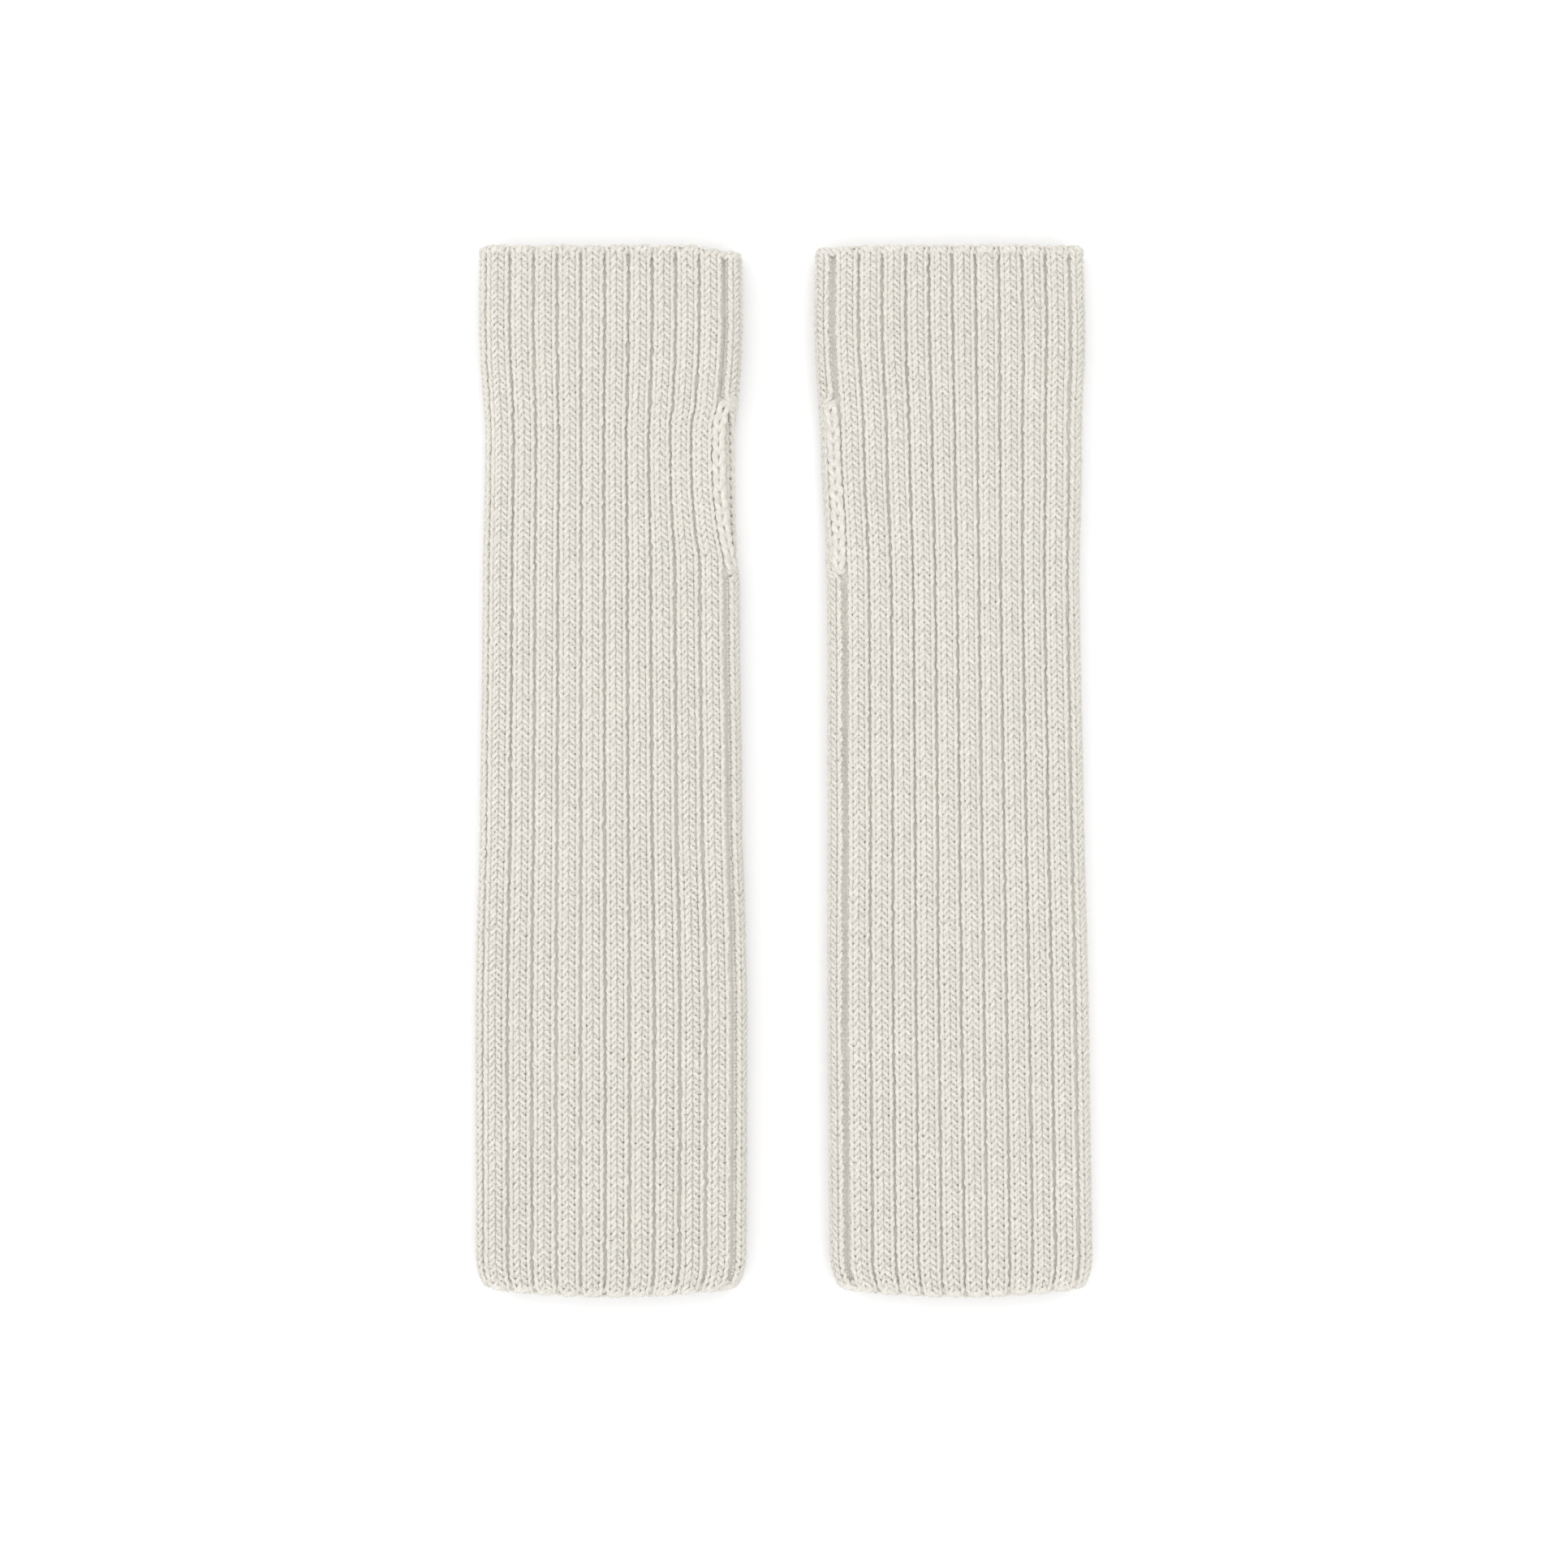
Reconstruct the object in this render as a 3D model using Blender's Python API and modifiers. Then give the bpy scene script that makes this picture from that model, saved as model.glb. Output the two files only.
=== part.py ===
"""A pair of long ribbed-knit fingerless gloves, lying flat side by side.

Each glove is a knitted panel folded round into a flat tube and closed along its thumb side
by a seam, which is left open for the thumb. The two ends carry a bound-off and a cast-on
chain, and the two lips of the thumb slit carry an edging with a tack at each end.

Frame: +Y runs towards the fingers, +X to the right, +Z up. The origin is on the resting
surface, in the middle of the pair. Lengths are in metres.
"""

import math

import bmesh
import bpy
from mathutils import Matrix, Vector

# ---------------------------------------------------------------- driving dimensions

GLOVE_LENGTH = 0.350        # finger end to forearm end
THICKNESS = 0.013           # flattened tube: two layers and the air between them
WALL = 0.0032               # one layer of ribbed knit
CLEARANCE = 0.0003          # gap between pieces that touch
EDGE_CLEARANCE = 0.0005     # gap between the panel's side edges and the yarn that follows them

PAIR_SPACING = 0.1147       # between the two gloves' centre lines, halfway along
LEAN = {"left": 0.0, "right": -0.0042}      # sideways shift of the finger end

# Flat widths, at these distances from the finger end. The last one is at the forearm end.
WIDTH_STATIONS = (0.0, 0.028, 0.065, 0.115, 0.190, 0.250)
WIDTHS = {
    "left": (0.0884, 0.0888, 0.0844, 0.0862, 0.0880, 0.0913, 0.0908),
    "right": (0.0902, 0.0913, 0.0880, 0.0850, 0.0862, 0.0880, 0.0885),
}
ARM_CORNER = 0.007          # rounding of the outline's corners at the forearm end
HAND_CORNER = 0.002         # and at the finger end
ARM_BOW = 0.003             # how far the middle of the forearm edge hangs below its sides
BOW_REACH = 0.060           # length over which the courses straighten again

SLIT_START = 0.0505         # finger end to the upper end of the thumb slit
SLIT_LENGTH = 0.0605
SLIT_FRONT_BOW = 0.0006     # how far the upper layer's lip draws back from the seam line
SLIT_BACK_BOW = 0.0120      # how far the lower layer's lip draws back, round the side
LIP_EASE = 0.008            # length over which the upper lip draws back
LIP_MARGIN = 0.0010         # least strip of the lower layer kept level before its lip

SEAM_RADIUS = 0.0012        # linking yarn between the panel's two side edges
EDGING_RADIUS = 0.0014      # chain worked along each lip of the slit
TACK_WIDTH = 0.0040         # knot of yarn that closes each end of the slit
TACK_LENGTH = 0.0044
TACK_HEIGHT = 0.0034

# ---------------------------------------------------------------- worked-out values

HALF_LENGTH = GLOVE_LENGTH / 2
CHAIN_RADIUS = WALL / 2                                 # end chains are as thick as the wall
WALL_RADIUS = (THICKNESS - WALL) / 2                    # round side, to the middle of the wall
SIDE_ARC = math.pi * WALL_RADIUS                        # once round the side, top to bottom
SEAM_HALF_GAP = SEAM_RADIUS + EDGE_CLEARANCE
CHAIN_DEPTH = 2 * CHAIN_RADIUS + CLEARANCE              # panel's end, in from the glove's end
SLIT_MIDDLE = HALF_LENGTH - SLIT_START - SLIT_LENGTH / 2
SLIT_HALF = SLIT_LENGTH / 2
EDGING_INSET = EDGE_CLEARANCE + EDGING_RADIUS           # panel's lip to the edging's middle

SIDES = {"left": 1, "right": -1}                        # which way the thumb side faces
FLAT_STEPS = 6
ROUND_STEPS = 8
SIDE_STEPS = 7

WOOL = (0.80, 0.78, 0.71, 1.0)
CHAIN_WOOL = (0.82, 0.80, 0.72, 1.0)
YARN = (0.78, 0.76, 0.69, 1.0)


def smooth(value):
    """A 0 to 1 ramp with level ends."""
    value = min(max(value, 0.0), 1.0)
    return value * value * (3 - 2 * value)


# ---------------------------------------------------------------- outline and section

def corner_inset(distance, radius):
    """How far a rounded corner draws the side in, at a distance from the end."""
    if distance >= radius:
        return 0.0
    return radius - math.sqrt(radius ** 2 - (radius - max(distance, 0.0)) ** 2)


def half_width(glove, y):
    """Half of the flat width at y, between the two outer faces."""
    from_hand = HALF_LENGTH - y
    stations = WIDTH_STATIONS + (GLOVE_LENGTH,)
    widths = WIDTHS[glove]
    width = widths[-1]
    for index in range(len(stations) - 1):
        if from_hand <= stations[index + 1]:
            share = (from_hand - stations[index]) / (stations[index + 1] - stations[index])
            width = widths[index] + smooth(share) * (widths[index + 1] - widths[index])
            break
    inset = corner_inset(HALF_LENGTH + y, ARM_CORNER) + corner_inset(from_hand, HAND_CORNER)
    return width / 2 - inset


def place(glove, x, y, z):
    """A point of the flattened tube in the glove's own frame, with its lean and its bow.

    x is positive towards the thumb side.
    """
    bow = ARM_BOW * (x / half_width(glove, y)) ** 2 * (1 - smooth((HALF_LENGTH + y) / BOW_REACH))
    lean = LEAN[glove] * y / GLOVE_LENGTH
    return Vector((SIDES[glove] * x + lean, y + bow, z))


def wall_point(glove, arc, y):
    """The middle of the wall at an arc length from the seam line.

    Arc is positive over the upper layer and negative down round the thumb side.
    """
    flat = half_width(glove, y) - THICKNESS / 2
    if arc >= 0:
        return place(glove, flat - arc, y, THICKNESS - WALL / 2)
    if arc < -SIDE_ARC:
        return place(glove, flat + SIDE_ARC + arc, y, WALL / 2)
    angle = math.pi / 2 + arc / WALL_RADIUS
    x = flat + WALL_RADIUS * math.cos(angle)
    return place(glove, x, y, THICKNESS / 2 + WALL_RADIUS * math.sin(angle))


def slit_share(y):
    """-1 to 1 along the slit, from its lower end to its upper end."""
    return (y - SLIT_MIDDLE) / SLIT_HALF


def front_lip(y):
    """Arc of the upper layer's side edge."""
    inside = (1 - abs(slit_share(y))) * SLIT_HALF
    return SEAM_HALF_GAP + SLIT_FRONT_BOW * smooth(inside / LIP_EASE)


def back_lip(y):
    """Arc of the lower layer's side edge, as a positive length down round the side."""
    inside = max(1 - abs(slit_share(y)) ** 3, 0.0)
    return SEAM_HALF_GAP + SLIT_BACK_BOW * math.sqrt(inside)


def section(glove, y):
    """Points of the wall's middle at y, from the upper lip over to the lower lip."""
    flat = half_width(glove, y) - THICKNESS / 2
    top = THICKNESS - WALL / 2
    points = []
    start = flat - front_lip(y)
    for step in range(FLAT_STEPS):
        x = start + (-flat - start) * step / FLAT_STEPS
        points.append(place(glove, x, y, top))
    for step in range(ROUND_STEPS):
        angle = math.pi / 2 + math.pi * step / ROUND_STEPS
        x = -flat + WALL_RADIUS * math.cos(angle)
        points.append(place(glove, x, y, THICKNESS / 2 + WALL_RADIUS * math.sin(angle)))
    level_end = max(SIDE_ARC, back_lip(y) + LIP_MARGIN)
    level = 2 * flat + SIDE_ARC - level_end
    for step in range(FLAT_STEPS):
        points.append(place(glove, -flat + level * step / FLAT_STEPS, y, WALL / 2))
    for step in range(SIDE_STEPS + 1):
        arc = -level_end + (level_end - back_lip(y)) * step / SIDE_STEPS
        points.append(wall_point(glove, arc, y))
    return points


def course_heights():
    """Heights of the panel's cross sections, closer together at the slit's two ends."""
    low = -HALF_LENGTH + CHAIN_DEPTH
    high = HALF_LENGTH - CHAIN_DEPTH
    slit_low = SLIT_MIDDLE - SLIT_HALF
    slit_high = SLIT_MIDDLE + SLIT_HALF
    heights = [low + ARM_CORNER * share for share in (0.0, 0.25, 0.5)]
    steps = 8
    start = low + ARM_CORNER
    heights += [start + (slit_low - start) * step / steps for step in range(steps)]
    steps = 18
    for step in range(steps):
        share = -math.cos(math.pi * step / steps)
        share = math.copysign(1 - (1 - abs(share)) ** 1.15, share)
        heights.append(SLIT_MIDDLE + SLIT_HALF * share)
    steps = 4
    heights += [slit_high + (high - slit_high) * step / steps for step in range(steps + 1)]
    return heights


# ---------------------------------------------------------------- making the pieces

def wool_material(name, colour):
    material = bpy.data.materials.new(name)
    material.use_nodes = True
    shader = material.node_tree.nodes["Principled BSDF"]
    shader.inputs["Base Color"].default_value = colour
    shader.inputs["Roughness"].default_value = 0.95
    shader.inputs["Metallic"].default_value = 0.0
    return material


def add_piece(name, data, glove_empty, colour):
    """Puts a mesh or a curve in the scene as one piece of a glove."""
    data.materials.append(wool_material(name + "_wool", colour))
    piece = bpy.data.objects.new(name, data)
    gloves.objects.link(piece)
    piece.parent = glove_empty
    return piece


def add_cord(name, points, radius, closed, glove_empty, colour):
    """A round cord through points: one chain, seam or edging."""
    curve = bpy.data.curves.new(name, "CURVE")
    curve.dimensions = "3D"
    curve.bevel_depth = radius
    curve.bevel_resolution = 2
    curve.use_fill_caps = not closed
    spline = curve.splines.new("POLY")
    spline.points.add(len(points) - 1)
    for spline_point, point in zip(spline.points, points):
        spline_point.co = (*point, 1.0)
    spline.use_cyclic_u = closed
    return add_piece(name, curve, glove_empty, colour)


def add_panel(glove, glove_empty):
    """The ribbed panel: an open sheet folded round the hand, given its thickness."""
    rows = [section(glove, y) for y in course_heights()]
    sheet = bmesh.new()
    grid = [[sheet.verts.new(point) for point in row] for row in rows]
    for lower, upper in zip(grid, grid[1:]):
        for index in range(len(lower) - 1):
            face = [lower[index], lower[index + 1], upper[index + 1], upper[index]]
            if SIDES[glove] > 0:
                face.reverse()
            sheet.faces.new(face)
    mesh = bpy.data.meshes.new(glove + "_knit_panel")
    sheet.to_mesh(mesh)
    sheet.free()
    panel = add_piece(glove + "_knit_panel", mesh, glove_empty, WOOL)
    shell = panel.modifiers.new("wall", "SOLIDIFY")
    shell.thickness = WALL
    shell.offset = 0.0
    shell.use_even_offset = True
    mesh.shade_smooth()
    return panel


def ring_points(glove, y):
    """The middle of the wall all the way round, for an end chain."""
    flat = half_width(glove, y) - THICKNESS / 2
    points = []
    for side in (1, -1):
        for step in range(FLAT_STEPS):
            x = side * flat * (1 - 2 * step / FLAT_STEPS)
            points.append(place(glove, x, y, THICKNESS / 2 + side * WALL_RADIUS))
        for step in range(ROUND_STEPS):
            angle = side * math.pi / 2 + math.pi * step / ROUND_STEPS
            x = -side * flat + WALL_RADIUS * math.cos(angle)
            points.append(place(glove, x, y, THICKNESS / 2 + WALL_RADIUS * math.sin(angle)))
    return points


def add_end_chains(glove, glove_empty):
    """The bound-off chain at the fingers and the cast-on chain at the forearm."""
    hand_points = ring_points(glove, HALF_LENGTH - CHAIN_RADIUS)
    add_cord(glove + "_hand_edge", hand_points, CHAIN_RADIUS, True, glove_empty, CHAIN_WOOL)
    arm_points = ring_points(glove, -HALF_LENGTH + CHAIN_RADIUS)
    add_cord(glove + "_arm_edge", arm_points, CHAIN_RADIUS, True, glove_empty, CHAIN_WOOL)


def add_seam(name, glove, low, high, glove_empty):
    """Linking yarn along the seam line, bending where the panel's edges bend."""
    between = [y for y in course_heights() if low + CLEARANCE < y < high - CLEARANCE]
    points = [wall_point(glove, 0.0, y) for y in [low] + between + [high]]
    add_cord(name, points, SEAM_RADIUS, False, glove_empty, YARN)


def add_seams(glove, glove_empty):
    """A seam on each side of the slit, stopping where the side turns in at its corner."""
    slit_low = SLIT_MIDDLE - SLIT_HALF - CLEARANCE
    slit_high = SLIT_MIDDLE + SLIT_HALF + CLEARANCE
    end = HALF_LENGTH - CHAIN_DEPTH - SEAM_RADIUS / 2
    add_seam(glove + "_upper_seam", glove, slit_high, end, glove_empty)
    add_seam(glove + "_lower_seam", glove, -end, slit_low, glove_empty)


def tack_place(end):
    """Arc and height of a tack's middle, at the slit's upper (1) or lower (-1) end."""
    arc = -(TACK_WIDTH / 2 - SEAM_RADIUS)
    return arc, SLIT_MIDDLE + end * (SLIT_HALF - CLEARANCE - TACK_LENGTH / 2)


def add_tack(name, glove, end, glove_empty):
    """An oval knot in the corner of the slit, set level with the wall."""
    arc, height = tack_place(end)
    ball = bmesh.new()
    bmesh.ops.create_uvsphere(ball, u_segments=12, v_segments=8, radius=0.5)
    size = Matrix.Diagonal((TACK_WIDTH, TACK_LENGTH, TACK_HEIGHT, 1.0))
    bmesh.ops.transform(ball, matrix=size, verts=ball.verts)
    mesh = bpy.data.meshes.new(name)
    ball.to_mesh(mesh)
    ball.free()
    mesh.shade_smooth()
    tack = add_piece(name, mesh, glove_empty, YARN)
    tack.location = wall_point(glove, arc, height)
    tack.rotation_euler.y = -SIDES[glove] * arc / WALL_RADIUS


def front_edging_points(glove):
    """The chain along the upper layer's lip, between the two tacks."""
    reach = SLIT_HALF - TACK_LENGTH - 3 * CLEARANCE
    steps = 14
    points = []
    for step in range(steps + 1):
        y = SLIT_MIDDLE + reach * (2 * step / steps - 1)
        points.append(wall_point(glove, front_lip(y) - EDGING_INSET, y))
    return points


def back_edging_points(glove):
    """The chain along the lower layer's lip: its curve moved in square to the lip."""
    room = max(TACK_WIDTH, TACK_LENGTH) / 2 + EDGING_RADIUS + CLEARANCE
    steps = 34
    nudge = SLIT_HALF / 5000
    points = []
    for step in range(1, steps):
        y = SLIT_MIDDLE - SLIT_HALF * math.cos(math.pi * step / steps)
        slope = (back_lip(y + nudge) - back_lip(y - nudge)) / (2 * nudge)
        across = 1 / math.sqrt(1 + slope ** 2)
        arc = -back_lip(y) + EDGING_INSET * across
        height = y + EDGING_INSET * slope * across
        spaces = [math.dist((arc, height), tack_place(end)) for end in (-1, 1)]
        if min(spaces) >= room:
            points.append(wall_point(glove, arc, height))
    return points


def add_slit(glove, glove_empty):
    """Edging on both lips of the thumb slit, and the tacks at its ends."""
    front = front_edging_points(glove)
    add_cord(glove + "_slit_front_edging", front, EDGING_RADIUS, False, glove_empty, CHAIN_WOOL)
    back = back_edging_points(glove)
    add_cord(glove + "_slit_back_edging", back, EDGING_RADIUS, False, glove_empty, CHAIN_WOOL)
    add_tack(glove + "_upper_tack", glove, 1, glove_empty)
    add_tack(glove + "_lower_tack", glove, -1, glove_empty)


def outer_reach(glove):
    """The farthest the glove reaches outwards from its own centre line."""
    steps = 400
    reach = 0.0
    for step in range(steps + 1):
        y = HALF_LENGTH * (2 * step / steps - 1)
        lean = -SIDES[glove] * LEAN[glove] * y / GLOVE_LENGTH
        reach = max(reach, half_width(glove, y) + lean)
    return reach


def add_glove(glove, centre):
    """One whole glove, under an empty on its own centre line."""
    glove_empty = bpy.data.objects.new(glove + "_glove", None)
    gloves.objects.link(glove_empty)
    glove_empty.location.x = centre
    add_panel(glove, glove_empty)
    add_end_chains(glove, glove_empty)
    add_seams(glove, glove_empty)
    add_slit(glove, glove_empty)


# ---------------------------------------------------------------- build

for old in list(bpy.data.objects):
    bpy.data.objects.remove(old)

gloves = bpy.data.collections.new("fingerless_gloves")
bpy.context.scene.collection.children.link(gloves)

middle = (outer_reach("right") - outer_reach("left")) / 2       # centres the pair on the origin
add_glove("left", -PAIR_SPACING / 2 - middle)
add_glove("right", PAIR_SPACING / 2 - middle)
bpy.context.view_layer.update()
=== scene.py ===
import math

import bpy
import numpy as np
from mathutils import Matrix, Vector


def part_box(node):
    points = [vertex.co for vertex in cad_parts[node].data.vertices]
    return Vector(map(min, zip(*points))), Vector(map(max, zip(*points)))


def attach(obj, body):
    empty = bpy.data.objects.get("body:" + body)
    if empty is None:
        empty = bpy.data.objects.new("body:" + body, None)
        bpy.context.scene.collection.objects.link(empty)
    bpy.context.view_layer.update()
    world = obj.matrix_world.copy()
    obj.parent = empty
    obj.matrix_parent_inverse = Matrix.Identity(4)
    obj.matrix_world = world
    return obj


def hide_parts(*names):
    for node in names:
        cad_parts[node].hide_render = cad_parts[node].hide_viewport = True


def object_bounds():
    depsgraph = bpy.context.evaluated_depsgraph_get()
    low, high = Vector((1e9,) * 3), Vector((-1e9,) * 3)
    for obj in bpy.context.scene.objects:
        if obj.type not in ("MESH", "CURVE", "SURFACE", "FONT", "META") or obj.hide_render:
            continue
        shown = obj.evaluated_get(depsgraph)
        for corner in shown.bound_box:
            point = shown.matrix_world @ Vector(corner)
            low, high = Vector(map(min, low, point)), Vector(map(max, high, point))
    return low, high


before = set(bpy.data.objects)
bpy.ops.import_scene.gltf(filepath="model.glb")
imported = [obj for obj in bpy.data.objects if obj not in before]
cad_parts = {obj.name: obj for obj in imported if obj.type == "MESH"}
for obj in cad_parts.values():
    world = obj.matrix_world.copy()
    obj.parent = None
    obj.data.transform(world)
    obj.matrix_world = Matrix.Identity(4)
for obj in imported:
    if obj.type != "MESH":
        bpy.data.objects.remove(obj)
cadLow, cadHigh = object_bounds()
random = np.random.default_rng(7)


# a socket with arithmetic, so that shader maths reads as maths
class Wire:
    def __init__(self, tree, socket):
        self.tree = tree
        self.socket = socket

    def node(self, kind, settings=None, values=None, output=0):
        made = self.tree.nodes.new(kind)
        for name, value in (settings or {}).items():
            setattr(made, name, value)
        for name, value in (values or {}).items():
            if isinstance(value, Wire):
                self.tree.links.new(value.socket, made.inputs[name])
            else:
                made.inputs[name].default_value = value
        return Wire(self.tree, made.outputs[output])

    def math(self, operation, first, second=0.0):
        return self.node("ShaderNodeMath", {"operation": operation}, {0: first, 1: second})

    def __add__(self, other):
        return self.math("ADD", self, other)

    def __radd__(self, other):
        return self.math("ADD", other, self)

    def __sub__(self, other):
        return self.math("SUBTRACT", self, other)

    def __rsub__(self, other):
        return self.math("SUBTRACT", other, self)

    def __mul__(self, other):
        return self.math("MULTIPLY", self, other)

    def __rmul__(self, other):
        return self.math("MULTIPLY", other, self)

    def sine(self):
        return self.math("SINE", self)

    def mixColour(self, first, second):
        settings = {"data_type": "RGBA"}
        return self.node("ShaderNodeMix", settings, {0: self, 6: first, 7: second}, output=2)


# ivory wool: colours are linear
wool = {
    "light": (0.87, 0.841, 0.772, 1.0),
    "deep": (0.52, 0.503, 0.458, 1.0),
    "roughness": 0.95,
    "sheen": 0.25,
    "sheenRoughness": 0.6,
    "specular": 0.15,
    "plyLength": 0.0042,     # metres of yarn for one full twist of its plies
    "plyWander": 3.0,        # how far the flecks push the plies about, in radians
    "fleckScale": 1000.0,
    "fleckDetail": 3.0,
    "hazeScale": 60.0,
    "hazeDetail": 2.0,
    "fibreScale": (700.0, 9.0, 1500.0),    # along the yarn, round it, and the slant of the fibres
    "fibreDetail": 2.0,
    "plainTone": 0.62,       # where plain yarn lies between deep and light
    "fleckTone": 0.75,
    "hazeTone": 0.15,
    # colour that follows the ply twist, darker in the grooves between the plies: painted shade
    "plyTone": 0.14,
    "fibreTone": 0.5,
    "plyBump": 0.40,
    "fibreBump": 0.70,
    "fleckBump": 0.90,
    "bumpDepth": 0.0006,
    "bumpStrength": 0.8,
}


def woolMaterial(name, shade=1.0):
    material = bpy.data.materials.new(name)
    material.use_nodes = True
    tree = material.node_tree
    shader = tree.nodes["Principled BSDF"]
    shader.inputs["Roughness"].default_value = wool["roughness"]
    shader.inputs["Sheen Weight"].default_value = wool["sheen"]
    shader.inputs["Sheen Roughness"].default_value = wool["sheenRoughness"]
    shader.inputs["Specular IOR Level"].default_value = wool["specular"]
    start = Wire(tree, None)
    place = start.node("ShaderNodeTexCoord", output=3)
    lay = start.node("ShaderNodeUVMap", {"uv_map": "yarnLay"})
    along = start.node("ShaderNodeSeparateXYZ", values={0: lay})
    around = start.node("ShaderNodeSeparateXYZ", values={0: lay}, output=1)
    noise = "ShaderNodeTexNoise"
    fleckValues = {"Vector": place, "Scale": wool["fleckScale"], "Detail": wool["fleckDetail"]}
    fleck = start.node(noise, values=fleckValues)
    hazeValues = {"Vector": place, "Scale": wool["hazeScale"], "Detail": wool["hazeDetail"]}
    haze = start.node(noise, values=hazeValues)
    turn = along * (2 * math.pi / wool["plyLength"]) + around * (2 * math.pi)
    ply = (turn + fleck * wool["plyWander"]).sine() * 0.5 + 0.5
    lengthwise, crosswise, slant = wool["fibreScale"]
    streakValues = {0: along * lengthwise, 1: around * crosswise + along * slant}
    streaks = start.node("ShaderNodeCombineXYZ", values=streakValues)
    fibre = start.node(noise, values={"Vector": streaks, "Scale": 1.0, "Detail": wool["fibreDetail"]})
    # the ply term paints shade into the grooves between the plies; fleck, haze and fibre are random tone
    tone = fleck * wool["fleckTone"] + haze * wool["hazeTone"] + ply * wool["plyTone"]
    strength = wool["fleckTone"] + wool["hazeTone"] + wool["plyTone"] + wool["fibreTone"]
    tone = tone + fibre * wool["fibreTone"] - strength / 2 + wool["plainTone"]
    # shade scales both colours; the ground sheet's 0.80 is painted shade, the other copies differ only
    # slightly in tone
    shades = [[part * shade for part in wool[key][:3]] + [1.0] for key in ("deep", "light")]
    colour = tone.mixColour(*shades)
    tree.links.new(colour.socket, shader.inputs["Base Color"])
    height = ply * wool["plyBump"] + fleck * wool["fleckBump"] + fibre * wool["fibreBump"]
    bumpValues = {"Height": height, "Distance": wool["bumpDepth"], "Strength": wool["bumpStrength"]}
    bump = start.node("ShaderNodeBump", values=bumpValues)
    tree.links.new(bump.socket, shader.inputs["Normal"])
    print("material:", name)
    return material


# a mesh of quads and, at open yarn ends, fans; only the quads have maps
def meshFrom(name, points, quads, fans, uvs, lays, material):
    mesh = bpy.data.meshes.new(name)
    mesh.vertices.add(len(points))
    mesh.vertices.foreach_set("co", points.astype(np.float32).ravel())
    corners = np.concatenate([quads.ravel(), fans.ravel()]).astype(np.int32)
    sizes = np.concatenate([np.full(len(quads), 4), np.full(len(fans), fans.shape[1] if len(fans) else 0)])
    mesh.loops.add(len(corners))
    mesh.loops.foreach_set("vertex_index", corners)
    mesh.polygons.add(len(sizes))
    mesh.polygons.foreach_set("loop_start", (np.cumsum(sizes) - sizes).astype(np.int32))
    mesh.polygons.foreach_set("loop_total", sizes.astype(np.int32))
    mesh.polygons.foreach_set("use_smooth", np.ones(len(sizes), bool))
    for layerName, values in (("OFBake", uvs), ("yarnLay", lays)):
        layer = mesh.uv_layers.new(name=layerName)
        full = np.zeros((len(corners), 2), np.float32)
        full[:quads.size] = values.reshape(-1, 2)
        layer.data.foreach_set("uv", full.ravel())
    mesh.update()
    mesh.validate()
    mesh.materials.append(material)
    piece = bpy.data.objects.new(name, mesh)
    bpy.context.scene.collection.objects.link(piece)
    return piece


yarn = {
    "sides": 6,
    "lumps": 0.08,           # unevenness of the thickness, as a share of it
    "lumpLimit": 0.2,
    "laneMargin": 0.06,      # left empty at each side of a strand's lane in its own map
    "stagger": 0.0017,       # each strand's fibre pattern starts this much later than the last
}


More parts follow.
